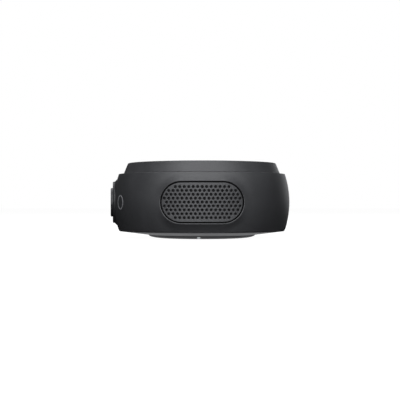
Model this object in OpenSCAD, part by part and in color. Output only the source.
// Conference speakerphone with a built-in camera.
// A slice of a ball stands on a rubber ring. A loudspeaker sits behind the perforated panel on
// the -Y side and a passive radiator behind the one on +Y. The camera looks out along -X, the
// USB socket along +X, and a disc of keys fills the top.
// Millimetres, +Z up, origin on the table under the middle of the barrel.

/* [Barrel] */
// Diameter of the barrel at its widest
body_d = 120; // [118:1:124]
// Height of the barrel, a slice of a ball, from edge to edge
barrel_h = 38.7; // [38.5:0.1:39.5]
// Height of the barrel's widest line above its lower edge
waist_h = 19.5; // [19:0.1:20]
// Wall thickness of the barrel
wall = 2.2; // [2:0.1:2.4]

/* [Top cap] */
// Height of the cap above the barrel
cap_h = 7.4; // [7:0.1:8.5]
// How far the foot of the cap stands in from the barrel's top edge
cap_inset = 3.3; // [2.9:0.1:3.5]
// Lean of the cap's side, in degrees
cap_lean = 22; // [16:1:24]

/* [Underside] */
// Height of rubber that shows under the case
foot_h = 2.2; // [2:0.05:2.6]
// Outer diameter of the rubber ring
foot_d = 73; // [72:0.5:75]
// Height of the shallow cone between the rubber ring and the barrel
under_h = 2.55; // [2.4:0.05:3]

/* [Side panels] */
// Length of a perforated panel
panel_l = 51.2; // [50:0.2:52]
// Height of a perforated panel
panel_h = 24.7; // [24:0.1:25]
// Width of the groove round a panel
groove = 0.75; // [0.5:0.05:0.9]
// Diameter of a sound hole
hole_d = 1.75; // [1.5:0.05:1.9]
// Distance between neighbouring sound holes
hole_pitch = 2.8; // [2.6:0.05:3.2]

/* [Camera] */
// Diameter of the cover glass
glass_d = 19.6; // [19:0.2:20.4]
// How far the cover glass stands out past the barrel's widest point
glass_out = 2.4; // [2:0.05:2.6]

/* [Motion] */
// Travel of a key
key_travel = 0.5; // [0.3:0.05:0.5]
// Travel of the loudspeaker cone to each side
cone_travel = 1.2; // [0.8:0.1:1.4]

/* [Hidden] */
$fn = 96;
eps = 0.01;

// Gaps: between parts that are fixed together, and round parts that slide
fit = 0.05;
slide = 0.2;

// Heights, from the table up
body_r = body_d / 2;
under_top = foot_h + under_h;
barrel_top = under_top + barrel_h;
mid_z = under_top + waist_h;
top_z = barrel_top + cap_h;
seam = 0.4;
shell_z = under_top + 2 * seam;
shelf_t = 2;
shelf_z = barrel_top - shelf_t;
cover_t = 2.1;
floor_z = foot_h + cover_t;

// Radii of the case
edge_r = sqrt(body_r ^ 2 - (barrel_h - waist_h) ^ 2);
foot_r = foot_d / 2;
foot_w = 12;
foot_round = [10, 2.15];
foot_seat = 1.1;
cap_r = edge_r - cap_inset;
cap_top_r = cap_r - cap_h * tan(cap_lean);
cap_wall = 2;
cap_round = 0.8;
shelf_r = 44.6;
pad_r = body_r + 0.15;
seat_r = body_r - 3.8;
cover_plug_r = sqrt((body_r - wall) ^ 2 - (mid_z - shell_z) ^ 2) - 0.15;

// Stack under the top
deck_t = 1.8;
ring_r = 42.5;
ring_w = 1.8;
disc_r = ring_r - ring_w - 0.15;
disc_top = top_z - 0.3;
disc_t = 2;
disc_z = disc_top - disc_t;
key_top = top_z - 0.05;
key_lip_t = 0.6;
board_t = 1.2;
key_board_r = 46.6;
key_board_z = top_z - 5.9 - key_travel;
key_board_top = key_board_z + board_t;
dome_h = 0.55;
mat_z = key_board_top + dome_h + fit;
mat_t = 0.4;
plunger_z = disc_z - 0.1 - key_lip_t - 0.1;
pip_top = plunger_z - fit;

// Keys: one round in the middle, six round it; the person at the camera reads them
mute_r = 12.8;
key_in = 16.2;
key_out = 27.8;
key_lip = 0.6;
key_span = 48;
key_azimuths = [30, 90, 150, 210, 270, 330];
disc_boss_r = 32.2;
mic_r = 37;
mic_count = 6;
mic_port_r = 0.6;

// Cap screws and the posts that carry the key board
cap_boss_r = 47.4;
cap_boss_azimuths = [45, 135, 225, 315];
board_post_r = 45.5;

// Loudspeaker and radiator: distances out from the middle of the barrel
frame_w = 56;
frame_h = 27.6;
frame_out = body_r - 11.8;
frame_t = 1.95;
frame_in = frame_out - frame_t;
window_l = 47;
window_h = 21.4;
cone_l = 39.8;
cone_h = 15.2;
coil_r = 6.25;
motor_r = 10.5;
motor_out = frame_in - 11.5;
coil_in = motor_out - 5.8 + cone_travel;
frame_screw = [25.3, 11.1];

// Sealed chamber between them, which is also the chassis
chamber_w = 57;
chamber_y = frame_in - fit;
chamber_z = mid_z - frame_h / 2;
chamber_top = mid_z + frame_h / 2;
chamber_wall = 2;
lid_z = chamber_top + 0.1;
lid_t = 1.5;
post = [31.94, 9.77];
post_r = 3.3;

// Camera: distances out from the middle of the barrel
face_out = body_r + 0.95;
bezel_r = 16.3;
bezel_face_r = 14;
neck_r = 12.3;
bezel_bore_r = 8.6;
glass_r = glass_d / 2;
glass_t = 2.5;
camera_board_out = 38;
camera_post = [10.5, 9.5];

// Main board on the +X side, and its socket
main_z = floor_z + 8.25;
main_t = 1.6;
main_x = 30.6;
usb_l = 8.94;
usb_h = 3.26;
usb_depth = 7.4;
port = [24, 9];
usb_out = body_r - 1.2;
usb_up = main_z + main_t + usb_h / 2 + fit - mid_z;
board_post = [45, 22];
battery = [50, 60, 4.8];
battery_z = floor_z + 0.75;

// Colours
charcoal = "#3a3b3d";
dark = "#232426";
black = "#151517";
pcb = "#1f5a3a";
steel = "#a9adb3";
brass = "#b9974f";
clear_grey = "#8f9aa0";

// ---- shapes that repeat ----

// A slot with round ends, in plan
module slot(l, h) {
    square([l - h, h], center = true);
    for (side = [-1, 1]) translate([side * (l - h) / 2, 0]) circle(d = h);
}

// A rectangle with round corners, in plan
module rounded(w, d, r) {
    square([w - 2 * r, d], center = true);
    square([w, d - 2 * r], center = true);
    for (x = [-1, 1], y = [-1, 1])
        translate([x * (w / 2 - r), y * (d / 2 - r)]) circle(r = r);
}

// Sweeps a profile round a slot-shaped path; the profile's x runs outwards from the path
module sweep_slot(l, h) {
    half = (l - h) / 2;
    for (side = [0, 180]) rotate([0, 0, side]) {
        translate([half, 0, 0]) rotate([0, 0, -90]) rotate_extrude(angle = 180)
            translate([h / 2, 0]) children();
        translate([-half, 0, 0]) rotate([90, 0, 90]) linear_extrude(2 * half)
            translate([h / 2, 0]) children();
    }
}

// Local frame with z pointing out of the barrel at an azimuth, y up, and its origin in the middle
module toward(azimuth) translate([0, 0, mid_z]) rotate([90, 0, azimuth]) children();

module tube(r_out, r_in, h) difference() {
    cylinder(r = r_out, h = h);
    translate([0, 0, -1]) cylinder(r = r_in, h = h + 2);
}

module around(azimuths, r) for (a = azimuths) rotate([0, 0, a]) translate([r, 0, 0]) children();

module corners(x, y) for (sx = [-1, 1], sy = [-1, 1]) translate([sx * x, sy * y, 0]) children();

// Pan-head screw standing on its shaft's tip, head up, with a hex socket
module screw(d, length, head_d, head_h) {
    cylinder(d = d, h = length);
    translate([0, 0, length]) difference() {
        cylinder(d = head_d, h = head_h);
        translate([0, 0, head_h / 2]) cylinder(d = head_d * 0.5, h = head_h, $fn = 6);
    }
}

// Points of a quarter-round from angle a to angle b about c
function arc(c, r, a, b, n = 6) = [
    for (t = [a:(b - a) / n:b + eps]) c + r * [cos(t), sin(t)]
];

// A slice of a ball about the middle of the barrel
module ball_slice(r, z0, z1) intersection() {
    translate([0, 0, mid_z]) sphere(r = r);
    translate([0, 0, z0]) cylinder(r = r + 5, h = z1 - z0);
}

// ---- barrel and its panels ----

// Raised pad that carries a panel: its edge is a slot and its flanks fall away to the ball
module pad(azimuth) {
    flare = 1.6;
    lip_h = panel_h / 2 + groove + 0.6;
    end_azimuth = 13.5;
    in = body_r - 6;
    out = body_r + 1;
    function half_h(r) = lip_h + (pad_r - r) * flare;
    intersection() {
        translate([0, 0, shell_z]) cylinder(r = pad_r, h = barrel_top - shell_z);
        union() {
            rotate([0, 0, azimuth - 90 - end_azimuth]) rotate_extrude(angle = 2 * end_azimuth)
                polygon([
                    [in, mid_z - half_h(in)], [out, mid_z - half_h(out)],
                    [out, mid_z + half_h(out)], [in, mid_z + half_h(in)],
                ]);
            for (side = [-1, 1]) toward(azimuth + side * end_azimuth) translate([0, 0, in])
                cylinder(r1 = half_h(in), r2 = half_h(out), h = out - in);
        }
    }
}

// Thick frame inside the wall that a panel and its foam gasket bear on
module seat(azimuth) difference() {
    toward(azimuth) translate([0, 0, body_r - 14]) linear_extrude(20)
        slot(panel_l + 2 * groove + 4, panel_h + 2 * groove + 4);
    cylinder(r = seat_r, h = top_z);
}

module shell_openings(azimuth) {
    toward(azimuth) translate([0, 0, body_r - 20]) linear_extrude(30)
        slot(panel_l - 1.4, panel_h - 1.9);
    difference() {
        toward(azimuth) translate([0, 0, body_r - 20]) linear_extrude(30)
            slot(panel_l + 2 * groove, panel_h + 2 * groove);
        cylinder(r = pad_r - 1.95, h = top_z);
    }
}

module side_shell() color(charcoal) difference() {
    union() {
        ball_slice(body_r, shell_z, barrel_top);
        for (azimuth = [0, 180]) pad(azimuth);
    }
    difference() {
        ball_slice(body_r - wall, shell_z - 1, shelf_z);
        for (azimuth = [0, 180]) seat(azimuth);
    }
    translate([0, 0, shelf_z - 1]) cylinder(r = shelf_r, h = 10);
    for (azimuth = [0, 180]) shell_openings(azimuth);
    toward(-90) cylinder(r = neck_r + 0.15, h = body_r + 5);
    toward(90) translate([0, usb_up, 40]) linear_extrude(30) slot(port[0] - 4, port[1] - 3);
    difference() {
        toward(90) translate([0, usb_up, 40]) linear_extrude(30) slot(port[0] + 0.3, port[1] + 0.3);
        translate([0, 0, mid_z]) sphere(r = body_r - 1.75);
    }
    translate([0, 0, shelf_z - 1]) around(cap_boss_azimuths, cap_boss_r) cylinder(r = 1.5, h = 5);
}

function in_panel(x, y) =
    norm([max(abs(x) - (panel_l - panel_h) / 2, 0), y]) <= panel_h / 2 - 1.15;

// Perforated panel: the staggered holes all run straight through, square to its middle
module grille(azimuth) intersection() {
    toward(azimuth) translate([0, 0, body_r - 14]) difference() {
        linear_extrude(20) slot(panel_l, panel_h);
        rows = floor(panel_h / 2 / (hole_pitch * sin(60)));
        columns = ceil(panel_l / 2 / hole_pitch);
        for (row = [-rows:rows], i = [-columns:columns]) {
            x = (i + (row % 2 == 0 ? 0 : 0.5)) * hole_pitch;
            y = row * hole_pitch * sin(60);
            if (in_panel(x, y)) translate([x, y, -1]) cylinder(d = hole_d, h = 22);
        }
    }
    tube(pad_r - 0.05, pad_r - 1.65, top_z);
}

module speaker_grille() color(charcoal) grille(0);
module radiator_grille() color(charcoal) grille(180);

module grille_cloths() color(black) for (azimuth = [0, 180]) intersection() {
    toward(azimuth) translate([0, 0, body_r - 14]) linear_extrude(20)
        slot(panel_l - 0.2, panel_h - 0.2);
    tube(pad_r - 1.7, pad_r - 1.9, top_z);
}

module foam_gaskets() color(dark) for (azimuth = [0, 180]) intersection() {
    toward(azimuth) translate([0, 0, frame_out + fit]) linear_extrude(12) difference() {
        rounded(frame_w, frame_h, 3);
        slot(panel_l - 1, panel_h - 1.4);
        corners(frame_screw[0], frame_screw[1]) circle(r = 1.75);
    }
    cylinder(r = seat_r - 0.1, h = top_z);
}

// ---- underside ----

module bottom_cover() color(charcoal) difference() {
    union() {
        rotate_extrude() polygon([
            [0, foot_h], [foot_r - foot_w - 0.1, foot_h],
            [foot_r - foot_w - 0.1, foot_h + foot_seat], [foot_r + 0.1, foot_h + foot_seat],
            [foot_r + 0.1, foot_h], [edge_r - 0.2, under_top], [edge_r - 0.2, under_top + seam],
            [cover_plug_r, under_top + seam], [cover_plug_r, under_top + 3],
            [cover_plug_r - 2, under_top + 3], [cover_plug_r - 2, floor_z + 2],
            [foot_r + 1.5, floor_z], [0, floor_z],
        ]);
        translate([0, 0, floor_z - 0.5]) corners(post[0], post[1])
            cylinder(r = 3.6, h = chamber_z - floor_z + 0.4);
        for (side = [-1, 1]) translate([board_post[0], side * board_post[1], floor_z + 0.6])
            cylinder(r = 2.6, h = main_z - floor_z - 0.65);
    }
    translate([0, 0, foot_h]) corners(post[0], post[1]) {
        cylinder(r = 2.8, h = 3.5);
        cylinder(r = 1.65, h = 20);
    }
    for (side = [-1, 1]) translate([board_post[0], side * board_post[1], main_z - 5])
        cylinder(r = 1.02, h = 6);
}

window_x = -2.1;
window_w = 2.6;
window_z = 0.5;
window_top = foot_h - fit;

// The rubber ring with no window: a flat sole that rolls up to the outer edge
module foot_ring() rotate_extrude() polygon([
    [foot_r - foot_w, foot_h + foot_seat - fit], [foot_r - foot_w, 0.4], [foot_r - foot_w + 0.4, 0],
    for (t = [-90:11.25:0]) [foot_r + foot_round[0] * (cos(t) - 1), foot_round[1] * (sin(t) + 1)],
    [foot_r, foot_h + foot_seat - fit],
]);

module rubber_foot() color(black) difference() {
    foot_ring();
    translate([window_x - window_w / 2 - fit, -foot_r - 1, window_z - fit])
        cube([window_w + 2 * fit, 4, window_top - window_z + 2 * fit]);
}

module charge_window() color(clear_grey) intersection() {
    foot_ring();
    translate([window_x - window_w / 2, -foot_r - 1, window_z])
        cube([window_w, 4 - fit, window_top - window_z]);
}

module case_screws() color(steel) translate([0, 0, foot_h + 3.45]) mirror([0, 0, 1])
    corners(post[0], post[1]) translate([0, 0, -13]) screw(3, 13, 5.2, 1.8);

// ---- top ----

module top_cap() color(charcoal) difference() {
    union() {
        rotate_extrude() polygon(concat(
            [[ring_r + 0.1, top_z - deck_t], [cap_top_r - cap_wall + 0.6, top_z - deck_t],
             [cap_r - cap_wall, barrel_top + 0.25], [cap_r, barrel_top + 0.25]],
            arc([cap_top_r - cap_round / 2, top_z - cap_round], cap_round, cap_lean, 90),
            [[ring_r + 0.1, top_z]]
        ));
        translate([0, 0, barrel_top + fit]) around(cap_boss_azimuths, cap_boss_r)
            cylinder(r = 2.6, h = top_z - deck_t - barrel_top);
        translate([0, 0, key_board_top + fit]) around([0, 90, 180, 270], board_post_r)
            cylinder(r = 1.8, h = top_z - deck_t - key_board_top);
    }
    translate([0, 0, barrel_top - 1]) around(cap_boss_azimuths, cap_boss_r)
        cylinder(r = 1.27, h = 5.5);
    translate([0, 0, key_board_top - 1]) around([0, 90, 180, 270], board_post_r)
        cylinder(r = 0.82, h = 4);
}

module cap_screws() color(steel) around(cap_boss_azimuths, cap_boss_r)
    translate([0, 0, barrel_top + 4]) mirror([0, 0, 1])
        screw(2.5, barrel_top + 4 - lid_z + 0.05, 4.6, 1.6);

module light_ring() color("#c9ced2") rotate_extrude() polygon([
    [ring_r - ring_w, key_board_top + 0.8], [ring_r, key_board_top + 0.8],
    [ring_r, top_z - deck_t - 1.1], [ring_r + 0.9, top_z - deck_t - 1.1],
    [ring_r + 0.9, top_z - deck_t - fit], [ring_r, top_z - deck_t - fit],
    [ring_r, disc_top + 0.15], [ring_r - ring_w, disc_top + 0.15],
]);

// Plan of a ring key, or of its hole when grown
module key_solid(azimuth, grow, z0, z1) {
    spread = grow * 180 / PI / key_in;
    rotate([0, 0, azimuth - key_span / 2 - spread]) rotate_extrude(angle = key_span + 2 * spread)
        polygon([[key_in - grow, z0], [key_out + grow, z0], [key_out + grow, z1], [key_in - grow, z1]]);
}

module control_disc() color(dark) difference() {
    union() {
        translate([0, 0, disc_z]) cylinder(r = disc_r, h = disc_t);
        translate([0, 0, key_board_top + fit]) around(key_azimuths, disc_boss_r)
            cylinder(r = 2, h = disc_z - key_board_top);
    }
    translate([0, 0, disc_z - 1]) cylinder(r = mute_r + slide, h = disc_t + 2);
    for (azimuth = key_azimuths) key_solid(azimuth, slide, disc_z - 1, disc_top + 1);
    translate([0, 0, disc_z - 1]) around([for (i = [0:mic_count - 1]) i * 60], mic_r)
        cylinder(r = mic_port_r, h = disc_t + 2);
    translate([0, 0, key_board_top - 1]) around(key_azimuths, disc_boss_r) cylinder(r = 0.82, h = 4);
}

// Ring key: a cap with a lip that the disc holds down, and a plunger over its switch
module ring_key(azimuth) {
    lip_top = disc_z - 0.1;
    key_solid(azimuth, 0, lip_top - key_lip_t, key_top);
    key_solid(azimuth, key_lip, lip_top - key_lip_t, lip_top);
    rotate([0, 0, azimuth]) translate([(key_in + key_out) / 2, 0, plunger_z]) cylinder(r = 1.5, h = 1);
}

module mute_key() color("#45474a") {
    lip_top = disc_z - 0.1;
    translate([0, 0, lip_top - key_lip_t]) cylinder(r = mute_r, h = key_top - lip_top + key_lip_t);
    translate([0, 0, lip_top - key_lip_t]) cylinder(r = mute_r + key_lip, h = key_lip_t);
    translate([0, 0, plunger_z]) cylinder(r = 1.5, h = 1);
}

module volume_down_key() color("#45474a") ring_key(90);
module volume_up_key() color("#45474a") ring_key(270);
module answer_key() color("#45474a") ring_key(150);
module hang_up_key() color("#45474a") ring_key(210);
module camera_key() color("#45474a") ring_key(30);
module power_key() color("#45474a") ring_key(330);

// Runs its children at the middle of every key
module at_keys() {
    children();
    around(key_azimuths, (key_in + key_out) / 2) children();
}

module key_mat() color("#6b6e72") translate([0, 0, mat_z]) {
    cylinder(r = key_out + 1.4, h = mat_t);
    at_keys() cylinder(r1 = 2.4, r2 = 1.4, h = pip_top - mat_z);
}

module dome_switches() color(steel) translate([0, 0, key_board_top])
    at_keys() cylinder(r1 = 2.6, r2 = 1.2, h = dome_h);

module key_board() color(pcb) difference() {
    translate([0, 0, key_board_z]) cylinder(r = key_board_r, h = board_t - 0.01);
    translate([0, 0, key_board_z - 1]) {
        around(cap_boss_azimuths, cap_boss_r) cylinder(r = 3, h = 5);
        around([0, 90, 180, 270], board_post_r) cylinder(r = 0.9, h = 5);
        around(key_azimuths, disc_boss_r) cylinder(r = 0.9, h = 5);
        around([for (i = [0:mic_count - 1]) i * 60], mic_r) cylinder(r = 0.5, h = 5);
    }
}

module key_board_screws() color(steel) translate([0, 0, key_board_top + 2.5]) mirror([0, 0, 1]) {
    around([0, 90, 180, 270], board_post_r) screw(1.6, board_t + 2.55, 3, 0.6);
    around(key_azimuths, disc_boss_r) screw(1.6, board_t + 2.55, 3, 0.6);
}

module status_leds() color("#f2f2e6") translate([0, 0, key_board_top])
    around([for (i = [0:11]) i * 30 + 15], ring_r - ring_w / 2)
        translate([-0.6, -0.8, 0]) cube([1.2, 1.6, 0.6]);

module microphones() color(steel) around([for (i = [0:mic_count - 1]) i * 60], mic_r)
    translate([-1.33, -1.75, key_board_z - 1.05]) cube([2.66, 3.5, 1]);

module mic_gaskets() color(dark) around([for (i = [0:mic_count - 1]) i * 60], mic_r)
    translate([0, 0, key_board_top + fit]) tube(1.9, 0.8, disc_z - key_board_top - 2 * fit);

// ---- loudspeaker ----

// Flat flange of the loudspeaker or radiator, screwed to the chamber
module flange() translate([0, 0, frame_in]) linear_extrude(frame_t) difference() {
    rounded(frame_w, frame_h, 3);
    slot(window_l, window_h);
    corners(frame_screw[0], frame_screw[1]) circle(r = 1.1);
}

// Step round the flange's window that the surround's outer lip lies in
module lip_seat() translate([0, 0, frame_out - 0.75]) linear_extrude(2)
    slot(window_l + 1.2, window_h + 1.2);

module driver_frame() color(dark) toward(0) {
    leg = [15.5, 9.6];
    difference() {
        flange();
        lip_seat();
    }
    translate([0, 0, motor_out]) linear_extrude(1.4) difference() {
        rounded(36, 22, 4);
        circle(r = 8.4);
    }
    corners(leg[0], leg[1]) translate([-2, -1.2, motor_out])
        cube([4, 2.2, frame_in - motor_out + 0.3]);
}

// Half-round roll of rubber between a window and what moves in it, with a flat lip at each side
module surround() {
    roll_r = (window_h - cone_h) / 4 - 0.15;
    roll_t = 0.35;
    lip = 0.35;
    sweep_slot(cone_l + 0.25, cone_h + 0.25) translate([0, frame_out - 0.7]) {
        translate([lip + roll_r, 0]) difference() {
            circle(r = roll_r);
            circle(r = roll_r - roll_t);
            translate([-5, -10 + eps]) square([10, 10]);
        }
        square([lip + roll_t, roll_t]);
        translate([lip + 2 * roll_r - roll_t, 0]) square([lip + roll_t, roll_t]);
    }
}

module driver_surround() color(black) toward(0) surround();

// Thin cone from the slot-shaped rim down to the voice coil
module driver_cone() color("#2b2b2d") toward(0) difference() {
    hull() {
        translate([0, 0, frame_out - 1.1]) linear_extrude(0.6) slot(cone_l, cone_h, $fn = 48);
        translate([0, 0, motor_out + 5.2]) cylinder(r = coil_r + 0.7, h = 0.4, $fn = 48);
    }
    hull() {
        translate([0, 0, frame_out - 0.6]) linear_extrude(0.6) slot(cone_l - 1, cone_h - 1, $fn = 48);
        translate([0, 0, motor_out + 5.7]) cylinder(r = coil_r + 0.3, h = 0.4, $fn = 48);
    }
    translate([0, 0, motor_out]) cylinder(r = coil_r + 0.05, h = 12);
}

module dust_cap() color(black) toward(0) {
    base = motor_out + 6.9;
    intersection() {
        translate([0, 0, base]) cylinder(r = coil_r - 0.15, h = 6);
        translate([0, 0, base - 8]) difference() {
            sphere(r = 10.2);
            sphere(r = 9.8);
        }
    }
}

module voice_coil() color(brass) toward(0) translate([0, 0, coil_in])
    tube(coil_r, coil_r - 0.35, motor_out + 6.8 - coil_in);

module driver_spider() color("#8a7a4a") toward(0) translate([0, 0, motor_out + 1.45]) rotate_extrude()
    polygon([[coil_r + 0.1, 0], [8, 0], [8.5, 0.5], [9, 0], [9.8, 0], [9.8, 0.3], [9.1, 0.3],
             [8.5, 0.85], [7.9, 0.3], [coil_r + 0.1, 0.3]]);

module motor_top_plate() color(steel) toward(0) translate([0, 0, motor_out - 2.15])
    tube(motor_r, coil_r + 0.35, 2.1);

module motor_magnet() color("#3b3b40") toward(0) translate([0, 0, motor_out - 6.2])
    tube(motor_r, coil_r + 1.2, 4);

module motor_yoke() color(steel) toward(0) translate([0, 0, motor_out - 8.3]) {
    cylinder(r = motor_r, h = 2.05);
    cylinder(r = coil_r - 0.65, h = 8.2);
}

module radiator_frame() color(dark) toward(180) difference() {
    flange();
    lip_seat();
}

module radiator_surround() color(black) toward(180) surround();

module radiator_plate() color("#2b2b2d") toward(180) {
    translate([0, 0, frame_out - 1.9]) linear_extrude(1.2) slot(cone_l, cone_h);
    translate([0, 0, frame_out - 4.4]) cylinder(r = 5.5, h = 2.6);
}

module driver_screws() color(steel) for (azimuth = [0, 180]) toward(azimuth)
    corners(frame_screw[0], frame_screw[1]) translate([0, 0, chamber_y - 2.2])
        screw(1.8, frame_out - chamber_y + 2.2 + fit, 3.2, 1);

// ---- chamber ----

module chamber_body() color(dark) difference() {
    union() {
        translate([0, 0, chamber_z]) linear_extrude(chamber_top - chamber_z)
            rounded(chamber_w, 2 * chamber_y, 3);
        corners(post[0], post[1]) translate([0, 0, chamber_z])
            cylinder(r = post_r, h = chamber_top - chamber_z);
        for (sx = [-1, 1], sy = [-1, 1])
            translate([sx * 29.5 - 2, sy * post[1] - 1.5, chamber_z])
                cube([4, 3, chamber_top - chamber_z]);
        toward(-90) corners(camera_post[0], camera_post[1]) translate([0, 0, chamber_w / 2 - 1])
            cylinder(r = 2.3, h = camera_board_out - chamber_w / 2 + 1 - fit);
    }
    translate([0, 0, chamber_z + chamber_wall]) linear_extrude(50)
        rounded(chamber_w - 2 * chamber_wall, 2 * (chamber_y - 2.5), 2);
    for (azimuth = [0, 180]) toward(azimuth) {
        translate([0, 0, chamber_y - 5]) linear_extrude(10) slot(50.4, 23.2);
        corners(frame_screw[0], frame_screw[1]) translate([0, 0, chamber_y - 2.4])
            cylinder(r = 0.92, h = 5);
    }
    corners(post[0], post[1]) translate([0, 0, chamber_z - 1]) cylinder(r = 1.52, h = 10);
    toward(-90) corners(camera_post[0], camera_post[1]) translate([0, 0, camera_board_out - 4.4])
        cylinder(r = 0.82, h = 6);
    for (y = [-34, 0, 34]) corners(chamber_w / 2 - 1, y) translate([0, 0, chamber_top - 5])
        cylinder(r = 0.62, h = 6);
}

module chamber_lid() color(dark) difference() {
    union() {
        translate([0, 0, lid_z]) linear_extrude(lid_t) rounded(chamber_w, 2 * chamber_y, 3);
        around(cap_boss_azimuths, 0) translate([36, -3, lid_z]) cube([cap_boss_r - 36, 6, lid_t]);
        around(cap_boss_azimuths, cap_boss_r) translate([0, 0, lid_z])
            cylinder(r = 3, h = shelf_z - lid_z - fit);
    }
    around(cap_boss_azimuths, cap_boss_r) translate([0, 0, lid_z - 1]) cylinder(r = 1.4, h = 8);
    for (y = [-34, 0, 34]) corners(chamber_w / 2 - 1, y) translate([0, 0, lid_z - 1])
        cylinder(r = 0.7, h = 5);
}

module lid_screws() color(steel) for (y = [-34, 34]) corners(chamber_w / 2 - 1, y)
    translate([0, 0, chamber_top - 4.5]) screw(1.2, lid_z + lid_t + 4.55 - chamber_top, 1.9, 0.7);

// ---- camera ----

// The camera's front follows the barrel's round, as the panels do
module upright(r) translate([0, 0, shell_z]) cylinder(r = r, h = barrel_h);

module camera_bezel() color(dark) intersection() {
    upright(face_out);
    bezel_body();
}

module bezel_body() toward(-90) difference() {
    union() {
        difference() {
            rotate_extrude() polygon([
                [0, body_r - 4], [bezel_r, body_r - 4], [bezel_r, face_out - 2.9],
                [bezel_face_r + 0.15, face_out - 0.1], [bezel_face_r + 0.15, face_out + 1], [0, face_out + 1],
            ]);
            sphere(r = body_r + fit);
        }
        translate([0, 0, body_r - 5.5]) cylinder(r = neck_r, h = 6);
    }
    cylinder(r = bezel_bore_r, h = body_r + 5);
    translate([0, 0, body_r + glass_out - glass_t - fit]) cylinder(r = glass_r + 0.1, h = 5);
}

module bezel_nut() color(steel) toward(-90) translate([0, 0, body_r - 6.2]) difference() {
    cylinder(r = 15.2, h = 1.7);
    translate([0, 0, -1]) cylinder(r = neck_r + 0.03, h = 4);
    for (a = [0:60:300]) rotate([0, 0, a]) translate([14.4, -1, -1]) cube([3, 2, 4]);
}

module camera_glass() color(black) intersection() {
    upright(body_r + glass_out);
    toward(-90) translate([0, 0, body_r + glass_out - glass_t]) cylinder(r = glass_r, h = glass_t);
}

module lens_baffle() color(black) toward(-90) translate([0, 0, body_r]) rotate_extrude() polygon([
    [bezel_bore_r - 0.1, -5], [bezel_bore_r - 0.1, -0.2], [bezel_bore_r - 0.5, -0.2],
    [7, -0.6], [7, -0.9], [6.1, -0.9], [6.1, -1.4], [5.2, -1.4], [5.2, -2.6], [7.2, -2.6], [7.2, -5],
]);

module lens_barrel() color(black) toward(-90) difference() {
    union() {
        translate([0, 0, body_r - 8.5]) cylinder(r = 6.6, h = 5.7);
        translate([0, 0, body_r - 16.5]) cylinder(r = 5.95, h = 8.5);
    }
    cylinder(r = 3.6, h = body_r);
    translate([0, 0, body_r - 4.4]) cylinder(r = 4.6, h = 5);
}

module lens_elements() color("#3a4a5a") toward(-90) {
    intersection() {
        translate([0, 0, body_r - 4.3]) cylinder(r = 4.5, h = 4);
        translate([0, 0, body_r - 12.4]) sphere(r = 11);
    }
    translate([0, 0, body_r - 8]) cylinder(r = 3.5, h = 1.5);
    translate([0, 0, body_r - 14]) cylinder(r = 3.5, h = 2);
}

module lens_holder() color(black) toward(-90)
    translate([0, 0, camera_board_out + board_t + fit]) difference() {
        linear_extrude(8) rounded(15, 15, 1.5);
        translate([0, 0, -1]) cylinder(r = 6, h = 10);
    }

module image_sensor() color(steel) toward(-90)
    translate([-3.5, -3.5, camera_board_out + board_t + fit]) cube([7, 7, 1.1]);

module camera_board() color(pcb) toward(-90) translate([0, 0, camera_board_out]) linear_extrude(board_t)
    difference() {
        rounded(27, 24, 2);
        corners(camera_post[0], camera_post[1]) circle(r = 0.95);
    }

module camera_screws() color(steel) toward(-90) corners(camera_post[0], camera_post[1])
    translate([0, 0, camera_board_out - 4]) screw(1.6, board_t + 4 + fit, 3, 1);

// ---- sockets, board and battery ----

module port_insert() color(dark) difference() {
    intersection() {
        toward(90) translate([0, usb_up, 40]) linear_extrude(30) slot(port[0], port[1]);
        difference() {
            translate([0, 0, mid_z]) sphere(r = body_r - 0.05);
            translate([0, 0, mid_z]) sphere(r = body_r - 1.7);
        }
    }
    toward(90) translate([0, usb_up, 40]) {
        linear_extrude(30) slot(usb_l + 0.4, usb_h + 0.4);
        translate([8.2, 0, 0]) cylinder(r = 0.6, h = 30);
    }
}

module usb_socket() color(steel) toward(90) translate([0, usb_up, usb_out - usb_depth]) {
    difference() {
        linear_extrude(usb_depth) slot(usb_l, usb_h);
        translate([0, 0, 1]) linear_extrude(usb_depth) slot(usb_l - 0.6, usb_h - 0.6);
    }
    translate([-3.35, -0.35, 0.5]) cube([6.7, 0.7, 5.4]);
}

module main_board() color(pcb) difference() {
    intersection() {
        translate([0, 0, main_z]) cylinder(r = body_r - 5, h = main_t);
        translate([main_x, -60, main_z]) cube([40, 120, main_t]);
    }
    translate([0, 0, main_z - 1]) {
        corners(post[0], post[1]) cylinder(r = post_r + 0.5, h = 5);
        for (side = [-1, 1]) translate([board_post[0], side * board_post[1], 0])
            cylinder(r = 1.1, h = 5);
    }
}

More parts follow.
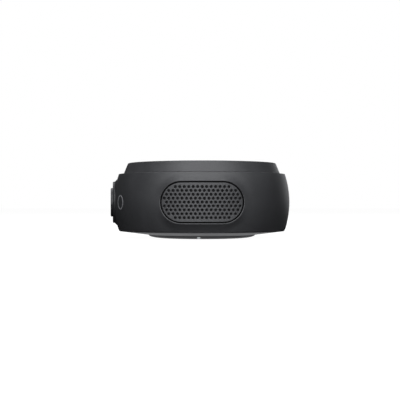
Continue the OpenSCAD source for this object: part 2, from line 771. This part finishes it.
// Shielded processor, radio, power coil, capacitors and cable connectors
module board_parts() color("#55585d") translate([0, 0, main_z + main_t + 0.01]) {
    translate([36, -14, 0]) cube([13, 13, 2.2]);
    translate([37, 3, 0]) cube([10, 10, 1.6]);
    translate([33.5, 18, 0]) cube([5, 9, 1.8]);
    translate([36, -29, 0]) cube([7, 7, 3.6]);
    for (y = [-36, -32]) translate([33.5, y, 0]) cylinder(r = 1.6, h = 5.5);
    translate([31.2, -4, 0]) cube([3, 8, 1.4]);
    translate([39.2, 13.5, 0]) cube([3.2, 5, 1.4]);
}

module board_screws() color(steel) for (side = [-1, 1])
    translate([board_post[0], side * board_post[1], main_z - 4.5]) screw(2, main_t + 4.55, 3.8, 1.3);

// Flat cables: camera board over the lid to the main board, and key board down to it
module flat_cables() color("#b7bcc0") {
    t = 0.2;
    over = lid_z + lid_t + 0.5;
    x_cam = camera_board_out - 0.9;
    translate([0, 4, 0]) rotate([90, 0, 0]) linear_extrude(8) {
        translate([-x_cam, mid_z + 6]) square([t, over - mid_z - 6]);
        translate([-x_cam, over]) square([x_cam + 29.4 + t, t]);
        translate([29.4, main_z + main_t + 2.5]) square([t, over - main_z - main_t - 2.5]);
        translate([29.4, main_z + main_t + 2.3]) square([2.4, t]);
        translate([31.6, main_z + main_t + 1.5]) square([t, 1]);
    }
    translate([0, 18.5, 0]) rotate([90, 0, 0]) linear_extrude(5)
        translate([39.6, main_z + main_t + 1.5]) square([t, key_board_z - main_z - main_t - 1.55]);
}

module battery_pack() color("#4b5563") translate([0, 0, battery_z]) linear_extrude(battery[2])
    rounded(battery[0], battery[1], 2.5);

side_shell();
bottom_cover();
rubber_foot();
charge_window();
case_screws();
top_cap();
cap_screws();
light_ring();
control_disc();
key_mat();
key_board();
key_board_screws();
dome_switches();
status_leds();
microphones();
mic_gaskets();
mute_key();
volume_up_key();
volume_down_key();
answer_key();
hang_up_key();
camera_key();
power_key();
speaker_grille();
radiator_grille();
grille_cloths();
foam_gaskets();
driver_frame();
driver_surround();
driver_cone();
dust_cap();
voice_coil();
driver_spider();
motor_yoke();
motor_magnet();
motor_top_plate();
radiator_frame();
radiator_surround();
radiator_plate();
driver_screws();
chamber_body();
chamber_lid();
lid_screws();
camera_bezel();
bezel_nut();
camera_glass();
lens_baffle();
lens_barrel();
lens_elements();
lens_holder();
image_sensor();
camera_board();
camera_screws();
port_insert();
main_board();
board_parts();
board_screws();
usb_socket();
flat_cables();
battery_pack();
